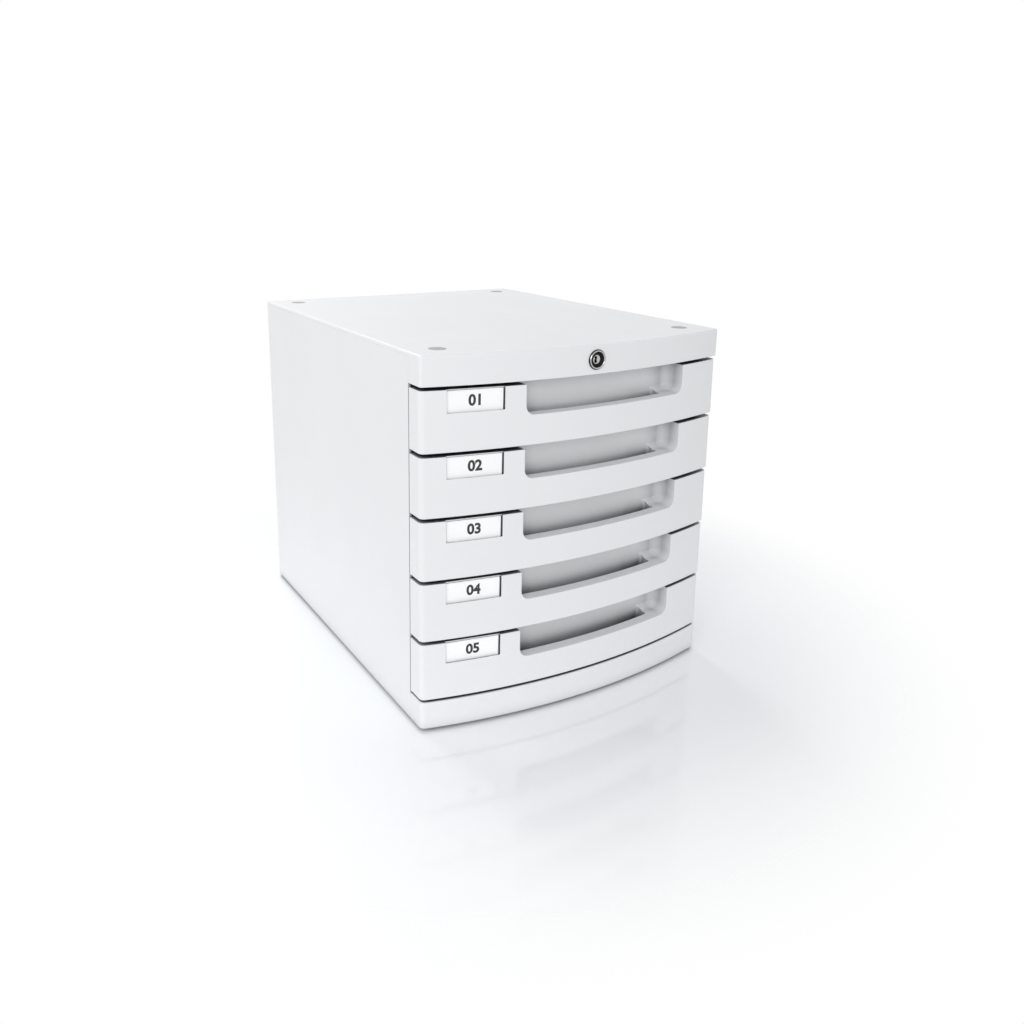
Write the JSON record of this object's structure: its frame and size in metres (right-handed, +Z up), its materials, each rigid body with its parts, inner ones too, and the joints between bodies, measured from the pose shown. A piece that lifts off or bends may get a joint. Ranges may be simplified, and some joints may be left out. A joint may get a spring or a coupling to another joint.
{
  "type": "desktop file drawer cabinet",
  "caption": "Free-standing desktop cabinet with shallow bowed-front drawers, finger grips, label holders and one key lock that holds every drawer.",
  "frame": {"origin": "centre of the footprint, on the surface that the feet stand on", "axes": "+Z up, +X to the right as seen from the front, the drawers open towards -Y"},
  "size_m": [0.3, 0.3838, 0.317],
  "materials": {
    "casing": "fine satin",
    "tray": "smooth satin",
    "cap": "fine satin",
    "rubber": "matt",
    "steel": "zinc plated",
    "chrome": "polished",
    "lock_case": "satin",
    "plug": "nickel plated, satin",
    "card": "plain paper",
    "clear": "clear"
  },
  "bodies": {
    "casing": {"top_cover": "casing", "base_plate": "casing", "left_side_panel": "casing", "right_side_panel": "casing", "back_panel": "casing", "top_cap_front_left": "cap", "top_screw_front_left": "steel", "base_screw_front_left": "steel", "foot_front_left": "rubber", "top_cap_front_right": "cap", "top_screw_front_right": "steel", "base_screw_front_right": "steel", "foot_front_right": "rubber", "top_cap_rear_left": "cap", "top_screw_rear_left": "steel", "base_screw_rear_left": "steel", "foot_rear_left": "rubber", "top_cap_rear_right": "cap", "top_screw_rear_right": "steel", "base_screw_rear_right": "steel", "foot_rear_right": "rubber", "lock_ring": "chrome", "lock_barrel": "lock_case", "lock_nut": "steel", "rod_bracket_front": "tray", "bracket_screw_front": "steel", "rod_bracket_rear": "tray", "bracket_screw_rear": "steel", "bar_guide_lower": "tray", "guide_screw_lower_left": "steel", "guide_screw_lower_right": "steel", "bar_guide_upper": "tray", "guide_screw_upper_left": "steel", "guide_screw_upper_right": "steel"},
    "lock": {"lock_plug": "plug", "lock_rod": "steel", "lock_crank": "steel"},
    "bar": {"lock_bar": "steel"},
    "drawer_1": {"drawer_front_1": "casing", "drawer_tray_1": "tray", "label_card_1": "card", "label_cover_1": "clear"},
    "drawer_2": {"drawer_front_2": "casing", "drawer_tray_2": "tray", "label_card_2": "card", "label_cover_2": "clear"},
    "drawer_3": {"drawer_front_3": "casing", "drawer_tray_3": "tray", "label_card_3": "card", "label_cover_3": "clear"},
    "drawer_4": {"drawer_front_4": "casing", "drawer_tray_4": "tray", "label_card_4": "card", "label_cover_4": "clear"},
    "drawer_5": {"drawer_front_5": "casing", "drawer_tray_5": "tray", "label_card_5": "card", "label_cover_5": "clear"}
  },
  "joints": [
    {"name": "drawer_1_slide", "type": "slide", "parent": "casing", "child": "drawer_1", "axis": [0, -1, 0], "range_m": [0, 0.24]},
    {"name": "drawer_2_slide", "type": "slide", "parent": "casing", "child": "drawer_2", "axis": [0, -1, 0], "range_m": [0, 0.24]},
    {"name": "drawer_3_slide", "type": "slide", "parent": "casing", "child": "drawer_3", "axis": [0, -1, 0], "range_m": [0, 0.24]},
    {"name": "drawer_4_slide", "type": "slide", "parent": "casing", "child": "drawer_4", "axis": [0, -1, 0], "range_m": [0, 0.24]},
    {"name": "drawer_5_slide", "type": "slide", "parent": "casing", "child": "drawer_5", "axis": [0, -1, 0], "range_m": [0, 0.24]},
    {"name": "lock_turn", "type": "hinge", "parent": "casing", "child": "lock", "pos_m": [0, -0.19025, 0.3048], "axis": [0, 1, 0], "range_deg": [0, 90]},
    {"name": "lock_bar_lift", "type": "slide", "parent": "casing", "child": "bar", "axis": [0, 0, 1], "range_m": [0, 0.01018]}
  ],
  "couplings": [
    {"joint": "lock_turn", "follows": "lock_bar_lift", "rad_per_m": 154.27}
  ]
}
